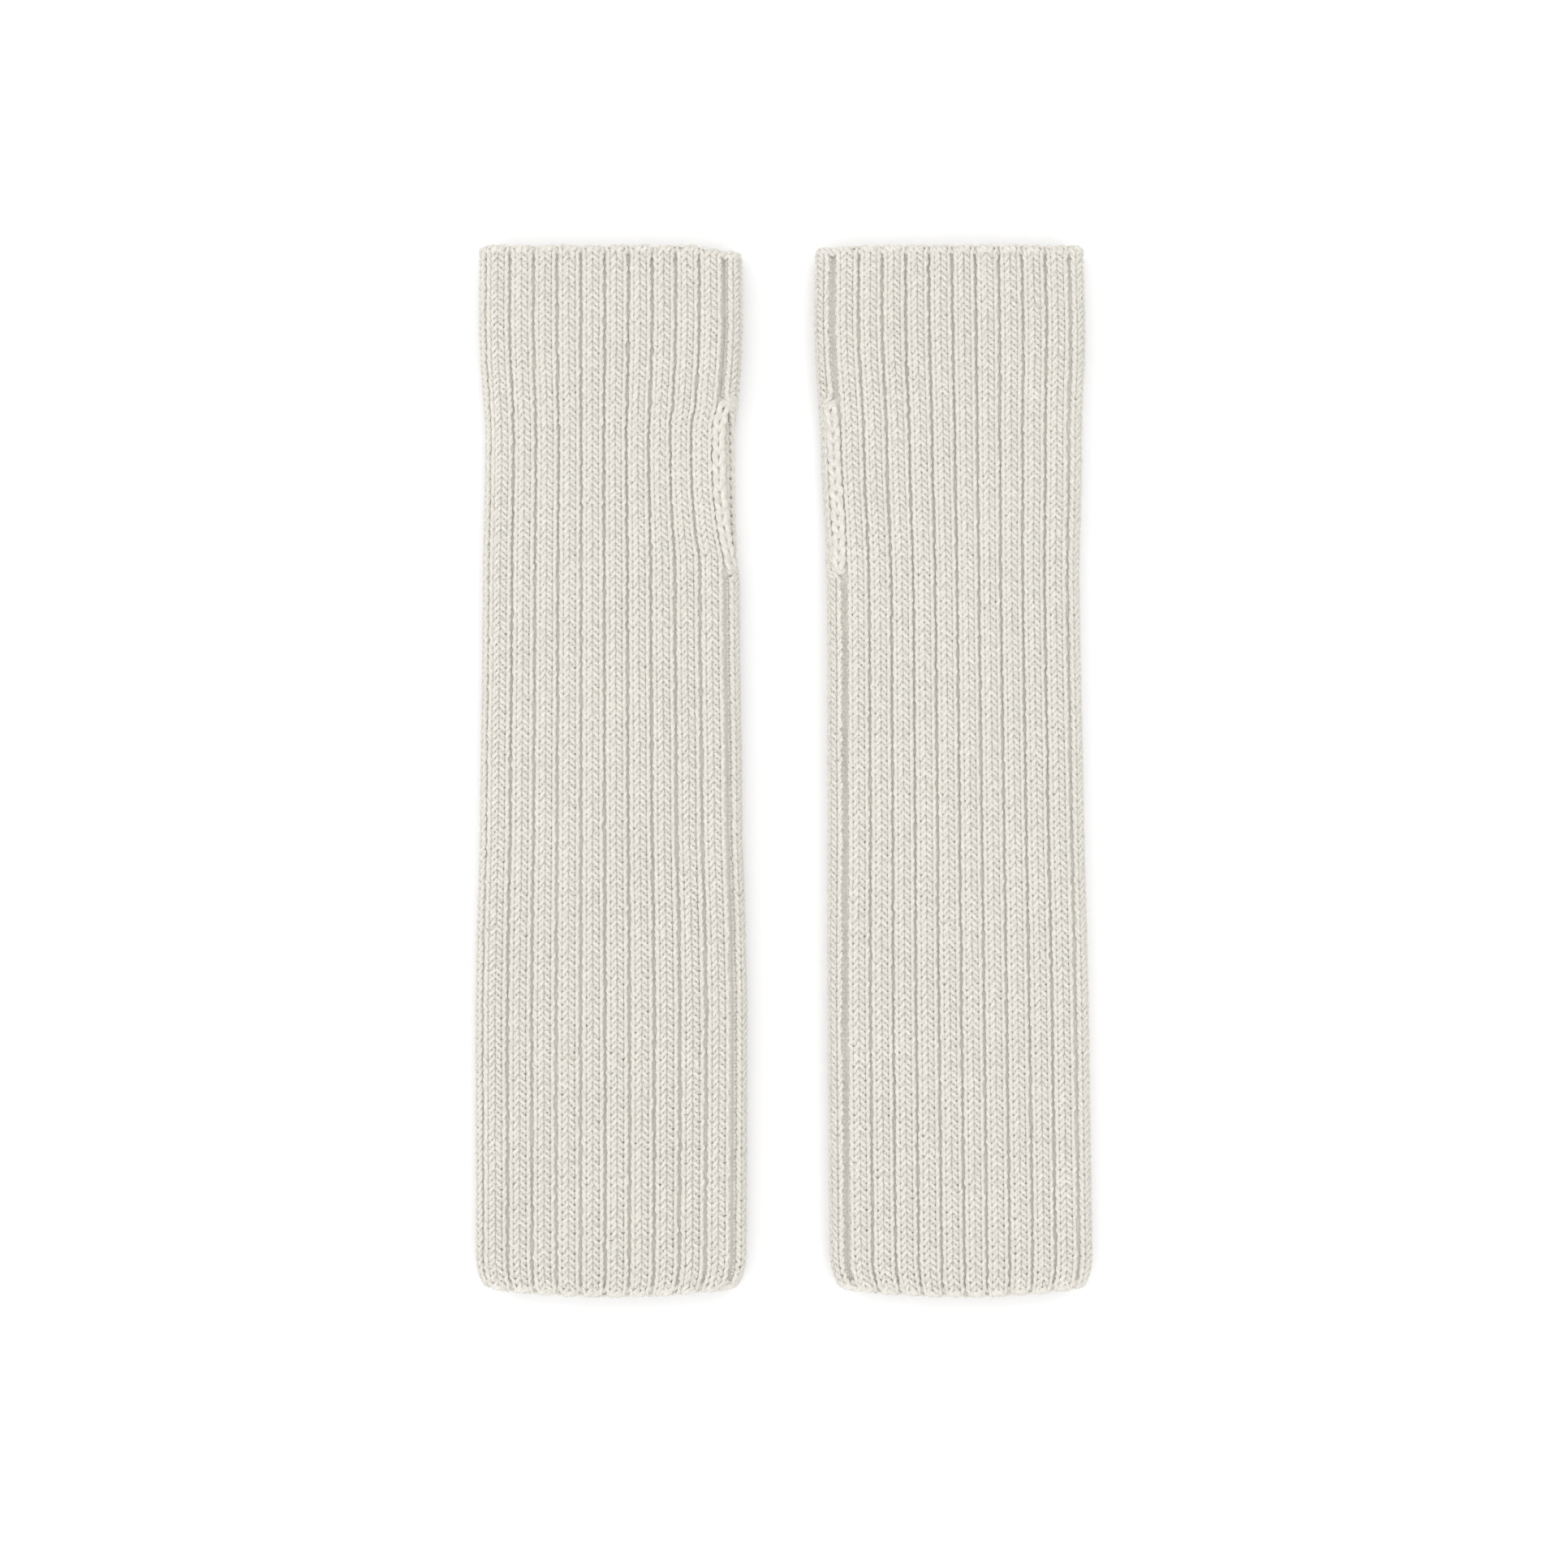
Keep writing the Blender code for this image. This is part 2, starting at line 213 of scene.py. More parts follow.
# yarn round centre lines: strands x points x 3, with a surface normal at each point
def yarnTubes(name, centres, normals, radius, closed, material, sides=yarn["sides"], lanesPerStrand=1):
    strands, count = centres.shape[:2]
    if closed:
        ahead, behind = np.roll(centres, -1, 1), np.roll(centres, 1, 1)
    else:
        before = 2 * centres[:, :1] - centres[:, 1:2]
        beyond = 2 * centres[:, -1:] - centres[:, -2:-1]
        padded = np.concatenate([before, centres, beyond], 1)
        ahead, behind = padded[:, 2:], padded[:, :-2]
    tangent = ahead - behind
    tangent /= np.linalg.norm(tangent, axis=2, keepdims=True)
    across = np.cross(tangent, normals)
    across /= np.linalg.norm(across, axis=2, keepdims=True)
    upward = np.cross(across, tangent)
    angles = np.arange(sides) * 2 * math.pi / sides
    limit = yarn["lumpLimit"]
    lumps = random.normal(0, yarn["lumps"], (strands, count, sides)).clip(-limit, limit)
    size = np.asarray(radius)[..., None] * (1 + lumps)
    rings = centres[:, :, None] + size[..., None] * (
        upward[:, :, None] * np.cos(angles)[:, None] + across[:, :, None] * np.sin(angles)[:, None])
    points = rings.reshape(-1, 3)
    spans = count if closed else count - 1
    strand = np.arange(strands)[:, None, None] * count
    ring = np.arange(spans)[None, :, None]
    side = np.arange(sides)[None, None, :]
    here, there = (strand + ring) * sides, (strand + (ring + 1) % count) * sides
    nextSide = (side + 1) % sides
    quads = np.stack([here + side, here + nextSide, there + nextSide, there + side], -1).reshape(-1, 4)
    if closed:
        fans = np.zeros((0, sides), int)
    else:
        first = (np.arange(strands) * count * sides)[:, None]
        last = first + (count - 1) * sides
        fans = np.concatenate([first + np.arange(sides)[::-1], last + np.arange(sides)])
    looped = np.concatenate([centres, centres[:, :1]], 1)
    step = np.linalg.norm(np.diff(looped, axis=1), axis=2)[:, :spans]
    run = np.concatenate([np.zeros((strands, 1)), np.cumsum(step, 1)], 1)
    perLane = -(-spans // lanesPerStrand)
    index = np.arange(spans)
    lane = np.arange(strands)[:, None] * lanesPerStrand + index // perLane
    lanes = strands * lanesPerStrand
    uStart = (index % perLane) / perLane
    u = np.stack([uStart, uStart, uStart + 1 / perLane, uStart + 1 / perLane], -1)
    v = np.arange(sides)[:, None] + np.array([0, 1, 1, 0])
    shape = (strands, spans, sides, 4)
    uvs = np.empty(shape + (2,), np.float32)
    uvs[..., 0] = u[None, :, None, :]
    margin = yarn["laneMargin"]
    uvs[..., 1] = (lane[:, :, None, None] + margin + (1 - 2 * margin) * v[None, None] / sides) / lanes
    lays = np.empty(shape + (2,), np.float32)
    ends = np.stack([run[:, :-1], run[:, :-1], run[:, 1:], run[:, 1:]], -1)
    lays[..., 0] = ends[:, :, None, :] + (np.arange(strands) * yarn["stagger"])[:, None, None, None]
    lays[..., 1] = v[None, None] / sides
    return meshFrom(name, points, quads, fans, uvs, lays, material)


def smooth(value):
    value = np.clip(value, 0.0, 1.0)
    return value * value * (3 - 2 * value)


# the flattened tube that the yarn lies on
tube = {
    "bite": 0.00212,         # outer face of the knit to the middle of its wall
    "seamEdge": 0.0006,      # seam line to the panel's edge
    "armCorner": (0.0120, 0.0046),    # height and inset of the rounded corners, forearm end
    "handCorner": (0.0020, 0.0020),
    "handDrop": {"left": 0.0020, "right": 0.0005},    # thumb corner below the rest of the hand end
    "dropSpan": (0.55, 0.030),        # share of the half width where it starts, and its height
    "armBow": 0.003,         # how far the middle of the forearm edge hangs below its sides
    "bowReach": 0.060,       # height over which the bow dies out
    "seamShift": {"left": -0.0016, "right": 0.0},     # seam line below the slit
    "lipShares": (0.0, 0.08, 0.25, 0.50, 0.85, 0.93, 1.0),    # places up the slit for the arcs below
    "frontLip": {"left": (-0.0044, -0.0034, -0.0013, -0.0001, -0.0001, -0.0008, -0.0030),
                 "right": (-0.0026, -0.0016, -0.0012, -0.0014, -0.0017, -0.0021, -0.0032)},
    "lipStops": 41,          # steps that the lip's line is rounded over, five at a time
    "lipHalf": 0.0019,       # middle of the front lip to the knit
    "backHalf": 0.6,         # the same at the back lip, as a share of the front's
    "backBow": {"left": 0.0076, "right": 0.0054},     # how far it bows behind the seam line
    "backSquareness": 3.5,   # two would make the bow an ellipse
    "slitPast": 0.02,        # the knit parts this share of the slit beyond its ends
    "slitRamp": 0.07,        # and is fully parted this share further in
    "frontPitch": {"left": 0.022, "right": -0.022},   # how much wider the ribs lie on top
    "sideFacing": 0.93,      # how squarely a face looks outwards where the width is taken
    "sideReach": 0.03,       # and how far from the glove's middle
    "sideStart": 0.012,      # above the forearm end, clear of its corner
}


class Glove:
    def __init__(self, name):
        self.name = name
        hand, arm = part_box(name + "_hand_edge"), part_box(name + "_arm_edge")
        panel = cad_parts[name + "_knit_panel"].data
        points = np.zeros(len(panel.vertices) * 3)
        panel.vertices.foreach_get("co", points)
        points = points.reshape(-1, 3)
        facing = np.zeros(len(panel.vertices) * 3)
        panel.vertex_normals.foreach_get("vector", facing)
        facing = facing.reshape(-1, 3)
        self.height = points[:, 2].max()
        self.low, self.high = arm[0].y, hand[1].y
        self.centreEnds = ((arm[0].x + arm[1].x) / 2, (hand[0].x + hand[1].x) / 2)
        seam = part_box(name + "_lower_seam")
        self.side = 1 if (seam[0].x + seam[1].x) / 2 > self.centreEnds[0] else -1
        self.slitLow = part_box(name + "_lower_tack")[0].y
        self.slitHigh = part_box(name + "_upper_tack")[1].y
        reach = -self.side * (points[:, 0] - self.centre(points[:, 1]))
        outermost = (-self.side * facing[:, 0] > tube["sideFacing"]) & (reach > tube["sideReach"])
        outermost = outermost & (points[:, 1] > self.low + tube["sideStart"])
        levels = np.round(points[outermost, 1], 3)
        self.levels = np.unique(levels)
        self.halves = np.array([reach[outermost][levels == level].max() for level in self.levels])
        print(name, "glove: slit from", round(self.slitLow, 4), "to", round(self.slitHigh, 4))

    def centre(self, y):
        share = (y - self.low) / (self.high - self.low)
        return self.centreEnds[0] + share * (self.centreEnds[1] - self.centreEnds[0])

    def half(self, y):
        width = np.interp(y, self.levels, self.halves)
        corners = ((tube["armCorner"], y - self.low), (tube["handCorner"], self.high - y))
        for (corner, inset), distance in corners:
            inside = np.clip(1 - distance / corner, 0.0, 1.0)
            width = width - inset * (1 - np.sqrt(1 - inside ** 2))
        return width

    def radius(self):
        return self.height / 2 - tube["bite"]

    def around(self, y):
        return 4 * (self.half(y) - self.height / 2) + 2 * math.pi * self.radius()

    # a place on the tube: arc from the seam line over the top, then y, then outwards
    def surface(self, arc, y, out):
        flat = self.half(y) - self.height / 2
        r = self.radius()
        turn = math.pi * r
        whole = 4 * flat + 2 * turn
        arc = np.mod(arc, whole)
        onTop = arc < 2 * flat
        onFar = ~onTop & (arc < 2 * flat + turn)
        below = ~onTop & ~onFar & (arc < 4 * flat + turn)
        farAngle = math.pi / 2 + (arc - 2 * flat) / r
        nearAngle = -math.pi / 2 + (arc - 4 * flat - turn) / r
        angle = np.where(onFar, farAngle, nearAngle)
        angle = np.where(onTop, math.pi / 2, np.where(below, -math.pi / 2, angle))
        x = np.where(below, -flat + arc - 2 * flat - turn, flat)
        x = np.where(onTop, flat - arc, np.where(onFar, -flat, x))
        x = x + (r + out) * np.cos(angle)
        z = self.height / 2 + (r + out) * np.sin(angle)
        fade = 1 - smooth((y - self.low) / tube["bowReach"])
        across = x / (flat + self.height / 2)
        start, tall = tube["dropSpan"]
        cornerward = smooth((across - start) / (1 - start)) * smooth((y - self.high + tall) / tall)
        drop = tube["handDrop"][self.name] * cornerward
        y = y + tube["armBow"] * across ** 2 * fade - drop
        place = np.stack([self.side * x + self.centre(y), y, z], -1)
        normal = np.stack([self.side * np.cos(angle), 0 * angle, np.sin(angle)], -1)
        return place, normal

    def slitShare(self, y):
        return (y - self.slitLow) / (self.slitHigh - self.slitLow)

    def seamLine(self, y):
        return tube["seamShift"][self.name] * (1 - smooth(self.slitShare(y)))

    def frontLip(self, y):
        share = self.slitShare(y)
        stops = np.linspace(0.0, 1.0, tube["lipStops"])
        rough = np.interp(stops, tube["lipShares"], tube["frontLip"][self.name])
        rough = np.convolve(np.pad(rough, 2, mode="edge"), np.ones(5) / 5, "valid")
        return np.interp(share, stops, rough)

    def backLip(self, y):
        share = np.abs(2 * self.slitShare(y) - 1)
        bow = np.sqrt(np.clip(1 - share ** tube["backSquareness"], 0.0, 1.0))
        return -tube["backBow"][self.name] * bow + self.seamLine(y)

    # nothing along the seams, one along the slit
    def parted(self, y):
        share = self.slitShare(y)
        past = tube["slitPast"]
        return smooth(np.minimum(share + past, 1 + past - share) / tube["slitRamp"])

    # edges of the knitted panel, either side of the seam or of the slit
    def frontEdge(self, y):
        seam = self.seamLine(y) + tube["seamEdge"]
        lip = np.maximum(self.frontLip(y) + tube["lipHalf"], seam)
        return seam + self.parted(y) * (lip - seam)

    def backEdge(self, y):
        seam = self.seamLine(y) - tube["seamEdge"]
        lip = self.backLip(y) - tube["lipHalf"] * tube["backHalf"]
        return self.around(y) + seam + self.parted(y) * (lip - seam)


knit = {
    "ribs": 23,
    "wale": 0.520,           # width of a knitted column, in ribs: past a quarter, it covers the purl
    "lift": 0.00092,         # rib face above the middle of the wall
    "roundness": 0.00045,    # how much lower a rib's edges lie than its crown
    "depth": 0.00046,        # legs in front, heads and feet behind
    "loop": 0.00190,         # half the height of a loop
    "spread": 0.29,          # how much wider a loop is at its head, in wales
    "turn": 0.20,            # share of a wale in which the knit turns under, rib to rib
    "yarnRadius": 0.00069,
    "armRow": 0.00234,       # height of one course at the forearm end
    "handRow": 0.00212,
    "endGap": 0.0026,        # first and last course to the ends of the glove
    "slip": 0.024,           # unevenness of the loops sideways, in wales
    "unevenness": 0.00016,   # and up and down
    "frontReach": 1.9,       # ribs over which the front edge's bend dies out
    "backStart": 0.45,       # share of the way round where the back edge's pull starts
    "backNear": 0.86,        # and from where it is as sharp as the edge itself
    "samples": 10,           # points in a stitch
    "rowsPerPiece": 17,
    "pull": np.linspace(-0.026, 0.026, 11),    # levels that share the slit's sideways pull
}


# where a rib, counted round from the seam, lies at a level
def panelArc(glove, rib, y):
    front = tube["seamEdge"]
    around = glove.around(y)
    share = rib / knit["ribs"]
    warp = tube["frontPitch"][glove.name] * (1 - np.cos(2 * math.pi * share)) / (2 * math.pi)
    arc = front + (around - 2 * front) * (share + warp)
    arc = arc + (glove.frontEdge(y) - front) * np.exp(-(rib / knit["frontReach"]) ** 2)
    # the pull of the open slit dies out slowly over the ribs further from it
    near = glove.backEdge(y) - around + front
    wide = sum(glove.backEdge(y + away) - glove.around(y + away) for away in knit["pull"])
    wide = wide / len(knit["pull"]) + front
    pulled = wide + (near - wide) * smooth((share - knit["backNear"]) / (1 - knit["backNear"]))
    return arc + pulled * smooth((share - knit["backStart"]) / (1 - knit["backStart"]))


# from -1 to 1 across each pair of wales, the turn at its edges, and the face: 1 in front, -1 behind
def ribPlace(wale):
    period = np.floor(wale / 2)
    within = wale - 2 * period - 1
    ramp = 1 - smooth((np.abs(within) - (1 - knit["turn"])) / knit["turn"])
    sign = np.where(np.mod(period, 2) == 0, 1.0, -1.0)
    return within, ramp, sign * ramp


# heights of the courses, from the forearm end's tall rows to the hand end's shorter ones
def courseLevels(low, high):
    levels = [low]
    while levels[-1] < high:
        share = (levels[-1] - low) / (high - low)
        levels.append(levels[-1] + knit["armRow"] + share * (knit["handRow"] - knit["armRow"]))
    levels = np.array(levels)
    return low + (levels - low) * (high - low) / (levels[-1] - low)


# every course is one yarn that runs round the glove: two wales in front, two behind
def knitCourses(glove, material):
    levels = courseLevels(glove.low + knit["endGap"], glove.high - knit["endGap"])
    wales = 4 * knit["ribs"]
    steps = wales * knit["samples"]
    tau = np.arange(steps + 1) / knit["samples"]
    stitch = np.minimum(np.floor(tau), wales - 1)
    phase = tau - stitch
    rows = len(levels)
    slip = random.normal(0, knit["slip"], (rows, wales))
    high = random.normal(0, knit["unevenness"], (rows, wales))
    pick = stitch.astype(int)
    widen = knit["spread"] * np.sin(4 * math.pi * phase)
    wale = tau + widen + slip[:, pick] * np.sin(math.pi * phase) ** 2 - 1.0
    within, ramp, side = ribPlace(wale)
    rib = (wale + 1) / 4
    y = levels[:, None] - knit["loop"] * np.cos(2 * math.pi * phase) + high[:, pick]
    pitch = panelArc(glove, rib + 0.5, y) - panelArc(glove, rib - 0.5, y)
    arc = panelArc(glove, rib, y) + pitch * (knit["wale"] - 0.25) * within * ramp
    face = knit["lift"] - knit["roundness"] * within ** 2 - knit["depth"] * np.cos(4 * math.pi * phase)
    centres, normals = glove.surface(arc, y, side * face)
    starts = range(0, rows, knit["rowsPerPiece"])
    for number, start in enumerate(starts, 1):
        part = slice(start, start + knit["rowsPerPiece"])
        name = glove.name + "Courses" + str(number)
        radius = np.full(centres[part].shape[:2], knit["yarnRadius"])
        piece = yarnTubes(name, centres[part], normals[part], radius, False, material, lanesPerStrand=4)
        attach(piece, glove.name + "_glove")
        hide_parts(glove.name + "_knit_panel")
    print(glove.name, "courses:", rows, "in", len(starts), "pieces")


# hand and arm: two strands twisted into a cord; front and back: the slit's lips, links in a chain
edges = {
    "hand": {"turn": 0.0039, "offset": 0.00058, "radius": 0.00082, "inset": 0.0021, "scallop": 0.00030,
             "lift": 0.00010, "follow": 0.60},
    "arm": {"turn": 0.0042, "offset": 0.00058, "radius": 0.00086, "inset": 0.0020, "scallop": 0.00060,
            "lift": -0.00005, "follow": 0.60},
    "front": {"pitch": 0.00400, "length": 0.0068, "width": 0.0027, "rise": 0.00055, "radius": 0.00112,
              "lift": 0.00000},
    "back": {"pitch": 0.00300, "length": 0.0048, "width": 0.0016, "rise": 0.00050, "radius": 0.00080,
             "lift": 0.00000},
    "linkPoints": 22,
    "linkTail": 0.35,        # width of a link's tail, as a share of its head's
    "linkShift": 0.00012,    # unevenness of the links along the chain
    "linkSpread": 0.06,      # and of their width
    "chainMargin": 0.0012,   # slit's end to the first link
    "chainSteps": 300,       # points along a lip
    "cordSteps": 1200,       # points in a strand of a cord
}


# teardrop links laid head over tail along a path given as arcs, levels and heights on the tube
def chainLinks(name, glove, path, values, material, node):
    arcs, levels, outs = path
    steps = np.hypot(np.diff(arcs), np.diff(levels))
    along = np.concatenate([[0.0], np.cumsum(steps)])
    count = max(2, int(round((along[-1] - values["length"] * 0.5) / values["pitch"])))
    pitch = (along[-1] - values["length"]) / (count - 1)
    turn = np.arange(edges["linkPoints"]) * 2 * math.pi / edges["linkPoints"]
    ahead = (1 - np.cos(turn)) / 2
    starts = np.arange(count)[:, None] * pitch
    place = starts + values["length"] * ahead + random.normal(0, edges["linkShift"], (count, 1))
    spread = 1 + random.normal(0, edges["linkSpread"], (count, 1))
    sideways = values["width"] / 2 * np.sin(turn) * (edges["linkTail"] + ahead) * spread
    rise = -values["rise"] * np.cos(2 * math.pi * ahead)
    ta = np.gradient(arcs, along)
    ty = np.gradient(levels, along)
    size = np.hypot(ta, ty)
    ta, ty = ta / size, ty / size
    arc = np.interp(place, along, arcs) - sideways * np.interp(place, along, ty)
    level = np.interp(place, along, levels) + sideways * np.interp(place, along, ta)
    out = np.interp(place, along, outs) + rise
    centres, normals = glove.surface(arc, level, out)
    radius = np.full(centres.shape[:2], values["radius"])
    piece = yarnTubes(name, centres, normals, radius, True, material)
    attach(piece, glove.name + "_glove")
    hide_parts(glove.name + node)
    print(name, "links:", count)


# two strands twisted round the path of an end's last row
def endCord(glove, end, material):
    values = edges[end]
    edge = glove.high - values["inset"] if end == "hand" else glove.low + values["inset"]
    outward = 1 if end == "hand" else -1
    rib = np.linspace(0.0, knit["ribs"], edges["cordSteps"] + 1)[:-1]
    share = rib / knit["ribs"]
    turns = round(glove.around(edge) / values["turn"])
    strand = np.array([[0.0], [math.pi]])
    angle = 2 * math.pi * turns * share + strand
    profile = ribPlace(4 * rib - 1)[2]
    arc = panelArc(glove, rib, np.full(rib.shape, edge)) + (2 * share - 1) * tube["seamEdge"] + 0 * angle
    level = edge + outward * values["scallop"] * profile + values["offset"] * np.cos(angle)
    out = values["lift"] + values["follow"] * profile * knit["lift"] + values["offset"] * np.sin(angle)
    centres, normals = glove.surface(arc, level, out)
    radius = np.full(centres.shape[:2], values["radius"])
    piece = yarnTubes(glove.name + end.title() + "Cord", centres, normals, radius, True, material,
                      sides=8, lanesPerStrand=6)
    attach(piece, glove.name + "_glove")
    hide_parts(glove.name + "_" + end + "_edge")
    print(glove.name, end, "cord:", turns, "turns")


def slitChain(glove, lip, material):
    values = edges[lip]
    margin = edges["chainMargin"]
    levels = np.linspace(glove.slitLow + margin, glove.slitHigh - margin, edges["chainSteps"])
    arcs = glove.frontLip(levels) if lip == "front" else glove.backLip(levels)
    outs = np.full(levels.shape, values["lift"])
    chainLinks(glove.name + lip.title() + "Lip", glove, (arcs, levels, outs), values, material,
               "_slit_" + lip + "_edging")


# the slit's back edge rolls inwards, behind the front lip
roll = {
    "shares": (0.10, 0.38, 0.66, 0.94),     # places of the strands, back lip to front lip
    "depths": (-0.0015, -0.0025, -0.0031, -0.0033),
    "past": 0.0004,          # how far it reaches behind the middle of the front lip
    "radius": 0.00090,
    "wave": 0.00012,
    "waveLength": 0.0022,
    "waveTurn": 21.0,        # radians that the wave turns on from back lip to front lip
    "margin": 0.0008,
    "samples": 180,
}


def rolledEdge(glove, material):
    low, high = glove.slitLow + roll["margin"], glove.slitHigh - roll["margin"]
    levels = np.linspace(low, high, roll["samples"])[None]
    across = np.array(roll["shares"])[:, None]
    front, back = glove.frontLip(levels) + roll["past"], glove.backLip(levels)
    ripple = roll["wave"] * np.sin(2 * math.pi * levels / roll["waveLength"] + roll["waveTurn"] * across)
    arc = back + (front - back) * across
    out = np.array(roll["depths"])[:, None] + ripple
    centres, normals = glove.surface(arc, levels + 0 * arc, out)
    radius = np.full(centres.shape[:2], roll["radius"])
    name = glove.name + "RolledEdge"
    piece = yarnTubes(name, centres, normals, radius, False, material, lanesPerStrand=4)
    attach(piece, glove.name + "_glove")
    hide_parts(glove.name + "_slit_back_edging")
    print(glove.name, "rolled edge:", len(roll["shares"]), "strands")


seams = {
    "period": 0.0022,        # one stitch there and back
    "reach": 0.00085,        # to either side of the seam line
    "depth": -0.00145,       # from the middle of the wall
    "lean": 0.0005,
    "rise": 0.00020,
    "radius": 0.00070,
    "samples": 12,           # points in a stitch
}


# one yarn that goes to and fro across the seam
def seamLadder(glove, part, material):
    low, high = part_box(glove.name + "_" + part + "_seam")
    count = int((high.y - low.y) / seams["period"])
    t = np.linspace(0.0, count, count * seams["samples"] + 1)
    level = low.y + t / count * (high.y - low.y) - seams["lean"] * np.sin(4 * math.pi * t)
    arc = glove.seamLine(level) + seams["reach"] * np.sin(2 * math.pi * t)
    out = seams["depth"] - seams["rise"] * np.cos(4 * math.pi * t)
    centres, normals = glove.surface(arc[None], level[None], out[None])
    radius = np.full(centres.shape[:2], seams["radius"])
    piece = yarnTubes(glove.name + part.title() + "Seam", centres, normals, radius, False, material,
                      lanesPerStrand=12)
    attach(piece, glove.name + "_glove")
    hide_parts(glove.name + "_" + part + "_seam")
    print(glove.name, part, "seam:", count, "stitches")


# short wraps closing the ends of the slit: middle, half width and drop of each curve
tacks = {
    "wraps": 2,
    "nest": 0.40,            # how much smaller each wrap is than the one before, as a share of the first
    "overrun": 0.25,         # radians past the half turn at each end
    "samples": 22,
    "radius": 0.00078,
    "lift": 0.00036,         # of a wrap's middle, while its ends sink as much
    "curve": {"left": {"upper": (-0.0026, 0.0024, -0.0020), "lower": (-0.0036, 0.0014, 0.0012)},
              "right": {"upper": (-0.0038, 0.0026, 0.0018), "lower": (-0.0016, 0.0015, 0.0012)}},
}


def tackWraps(glove, part, material):
    low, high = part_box(glove.name + "_" + part + "_tack")
    middle = (low.y + high.y) / 2
    centre, half, drop = tacks["curve"][glove.name][part]
    turn = np.linspace(-tacks["overrun"], math.pi + tacks["overrun"], tacks["samples"])
    nested = 1 - tacks["nest"] * np.arange(tacks["wraps"])[:, None]
    level = middle - drop * (np.sin(turn) * nested - 0.5)
    arc = centre + half * nested * np.cos(turn)
    out = tacks["lift"] * (2 * np.sin(np.clip(turn, 0, math.pi)) - 1) + 0 * arc
    centres, normals = glove.surface(arc, level, out)
    radius = np.full(centres.shape[:2], tacks["radius"])
    piece = yarnTubes(glove.name + part.title() + "Tack", centres, normals, radius, False, material)
    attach(piece, glove.name + "_glove")
    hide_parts(glove.name + "_" + part + "_tack")
    print(glove.name, part, "tack:", tacks["wraps"], "wraps")


ground = {
    "follow": 0.00058,       # how far the sheet goes with the ribs, front and back
    "gutter": -0.00008,      # how far it sinks between them; below nothing, it rises
    "ridge": 0.00038,        # raised along the middle of each rib
    "groove": 0.0008,        # lowered along the seam
    "tuck": 0.0003,          # from the middle of a slit lip to the sheet's edge
    "thick": 0.00030,
    "armGap": 0.0022,        # sheet's ends to the glove's
    "handGap": 0.0026,
    "overlap": 0.0002,       # past the start, where the sheet closes on itself
    "rows": 46,              # from end to end, before the slit's own rows replace some
    "slitRows": 44,
    "slitPast": 0.002,
    "columnsPerRib": 16,
    "endReach": 0.3,         # ribs over which the sheet's edges move to the lips
    "grooveReach": 0.2,      # ribs from the seam
    "grooveAtSlit": 0.2,     # share of the groove that stays beside the slit
    "ridgeReach": 0.25,      # half width of the ridge, as a share of the rib's
    "mapHalf": 0.49,         # width of each face in the sheet's own map
    "mapSecond": 0.505,      # where the inner face starts in it
    "mapSize": 0.18,         # metres across the sheet, as the wool's pattern takes it
}
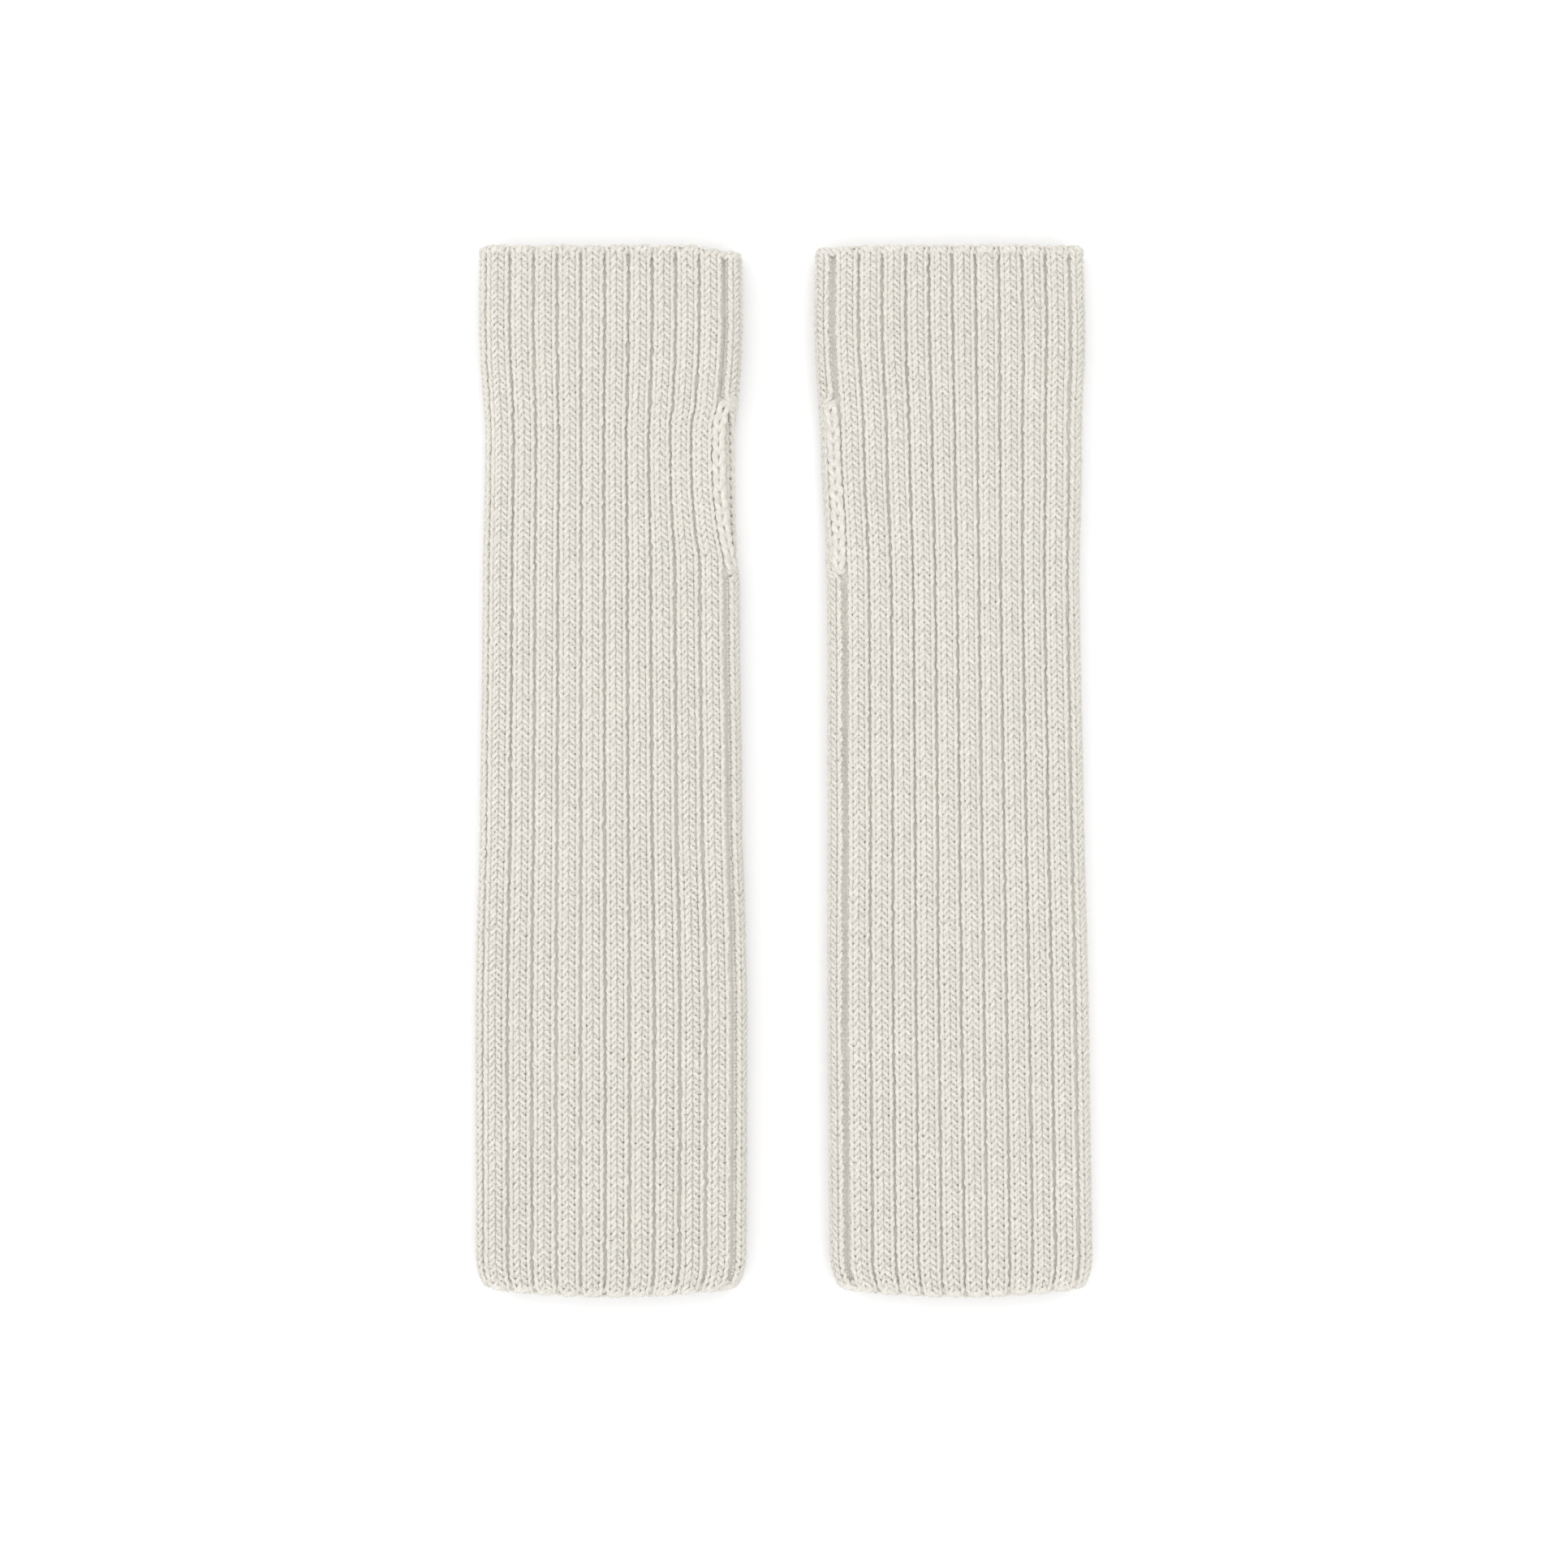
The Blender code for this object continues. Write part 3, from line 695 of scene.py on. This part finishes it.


# thin felted sheet in the middle of the knit, so that no light passes between the stitches; its wool is
# darkened as painted shade, so that the gaps and gutters seen down to it look shaded
def groundSheet(glove, material):
    columns = ground["columnsPerRib"] * knit["ribs"] + 1
    level = np.linspace(glove.low + ground["armGap"], glove.high - ground["handGap"], ground["rows"])
    past = ground["slitPast"]
    slit = np.linspace(glove.slitLow - past, glove.slitHigh + past, ground["slitRows"])
    level = np.sort(np.concatenate([level[(level < slit[0]) | (level > slit[-1])], slit]))[:, None]
    rows = len(level)
    share = np.linspace(0.0, 1.0, columns)[None]
    inSlit = (glove.slitShare(level) > 0.0) & (glove.slitShare(level) < 1.0)
    front, back = glove.frontLip(level), glove.backLip(level)
    start = np.where(inSlit, np.maximum(front + ground["tuck"], back), back)
    end = glove.around(level) + back + ground["overlap"]
    rib = knit["ribs"] * share
    arc = panelArc(glove, rib, level + 0 * share)
    arc = arc + (start - arc[:, :1]) * np.exp(-(rib / ground["endReach"]) ** 2)
    arc = arc + (end - arc[:, -1:]) * np.exp(-((knit["ribs"] - rib) / ground["endReach"]) ** 2)
    level = level + 0 * share
    within, _, profile = ribPlace(4 * rib - 1)
    raised = ground["follow"] + ground["ridge"] * np.exp(-(within / ground["ridgeReach"]) ** 2)
    middle = profile * np.where(profile > 0, raised, ground["gutter"]) + 0 * level
    nearSeam = np.minimum(share, 1 - share) * knit["ribs"]
    groove = ground["groove"] * np.exp(-(nearSeam / ground["grooveReach"]) ** 2)
    middle = middle - groove * np.where(inSlit, ground["grooveAtSlit"], 1.0)
    outer, normals = glove.surface(arc, level, middle + ground["thick"] / 2)
    inner, normals = glove.surface(arc, level, middle - ground["thick"] / 2)
    points = np.concatenate([outer.reshape(-1, 3), inner.reshape(-1, 3)])
    index = np.arange(rows * columns).reshape(rows, columns)
    a, b, c, d = index[:-1, :-1], index[:-1, 1:], index[1:, 1:], index[1:, :-1]
    top = np.stack([a, b, c, d], -1).reshape(-1, 4)
    below = top[:, ::-1] + rows * columns
    rim = np.concatenate([index[0, :], index[1:, -1], index[-1, -2::-1], index[-2:0:-1, 0]])
    after = np.roll(rim, -1)
    rimFaces = np.stack([after, rim, rim + rows * columns, after + rows * columns], -1)
    quads = np.concatenate([top, below, rimFaces])
    column = np.tile(share, (rows, 1)).ravel()
    row = np.repeat(np.linspace(0, 1, rows), columns)
    flat = np.stack([np.tile(column, 2), np.tile(row, 2)], -1)
    uvs = flat[quads]
    uvs[len(top):, :, 0] = uvs[len(top):, :, 0] * ground["mapHalf"] + ground["mapSecond"]
    uvs[:len(top), :, 0] *= ground["mapHalf"]
    lays = flat[quads] * ground["mapSize"]
    piece = meshFrom(glove.name + "Ground", points, quads, np.zeros((0, 4), int), uvs, lays, material)
    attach(piece, glove.name + "_glove")
    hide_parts(glove.name + "_knit_panel")
    print(glove.name, "ground sheet:", rows, "rows of", columns)


camera = {
    "lens": 85.0,
    "sensor": 36.0,
    "wide": 0.5201,          # metres across the picture at the gloves' top
    "aim": (0.0, -0.0043),   # point of the floor in the middle of the picture
    "clip": (0.05, 20.0),
}


def addCamera():
    data = bpy.data.cameras.new("camera")
    data.lens = camera["lens"]
    data.sensor_width = camera["sensor"]
    seen = bpy.data.objects.new("camera", data)
    bpy.context.scene.collection.objects.link(seen)
    distance = camera["wide"] * camera["lens"] / camera["sensor"]
    seen.location = (*camera["aim"], distance + cadHigh.z)
    data.clip_start, data.clip_end = camera["clip"]
    bpy.context.scene.camera = seen
    print("camera:", round(distance, 3), "m above the gloves")


studio = {
    "floor": (0.95, 0.95, 0.95, 1.0),
    "floorSize": 6.0,
    "floorGap": 0.0002,      # below the gloves
    "floorRoughness": 0.9,
    "sky": 1.03,
    # power, size and place of each lamp
    "lamps": {"key": (5.0, 1.2, (-1.3, 0.4, 1.0)), "fill": (7.0, 2.0, (0.3, -0.3, 1.6))},
}


def addStudio():
    world = bpy.data.worlds.new("studio")
    world.use_nodes = True
    world.node_tree.nodes["Background"].inputs["Color"].default_value = (1.0, 1.0, 1.0, 1.0)
    world.node_tree.nodes["Background"].inputs["Strength"].default_value = studio["sky"]
    bpy.context.scene.world = world
    floorLevel = cadLow.z - studio["floorGap"]
    bpy.ops.mesh.primitive_plane_add(size=studio["floorSize"], location=(0, 0, floorLevel))
    floor = bpy.context.object
    floor.name = "floor"
    material = bpy.data.materials.new("floor")
    material.use_nodes = True
    shader = material.node_tree.nodes["Principled BSDF"]
    shader.inputs["Base Color"].default_value = studio["floor"]
    shader.inputs["Roughness"].default_value = studio["floorRoughness"]
    floor.data.materials.append(material)
    for name, (power, size, place) in studio["lamps"].items():
        light = bpy.data.lights.new(name, "AREA")
        light.energy = power
        light.size = size
        lamp = bpy.data.objects.new(name, light)
        bpy.context.scene.collection.objects.link(lamp)
        lamp.location = place
        lamp.rotation_euler = (-lamp.location).to_track_quat("-Z", "Y").to_euler()
    print("studio:", len(studio["lamps"]), "lamps")


bpy.context.scene.view_settings.view_transform = "Standard"
addCamera()
knitWool = woolMaterial("knitWool")
# the ground sheet's copy is darkened to 0.80: painted shade for the gaps between stitches and the gutters
# between ribs
shadedGroundWool = woolMaterial("shadedGroundWool", 0.80)
edgeWool = woolMaterial("edgeWool", 0.99)
seamYarn = woolMaterial("seamYarn", 0.97)
for name in ("left", "right"):
    glove = Glove(name)
    groundSheet(glove, shadedGroundWool)
    knitCourses(glove, knitWool)
    for end in ("hand", "arm"):
        endCord(glove, end, edgeWool)
    for lip in ("front", "back"):
        slitChain(glove, lip, edgeWool)
    rolledEdge(glove, edgeWool)
    for part in ("upper", "lower"):
        seamLadder(glove, part, seamYarn)
        tackWraps(glove, part, seamYarn)
addStudio()
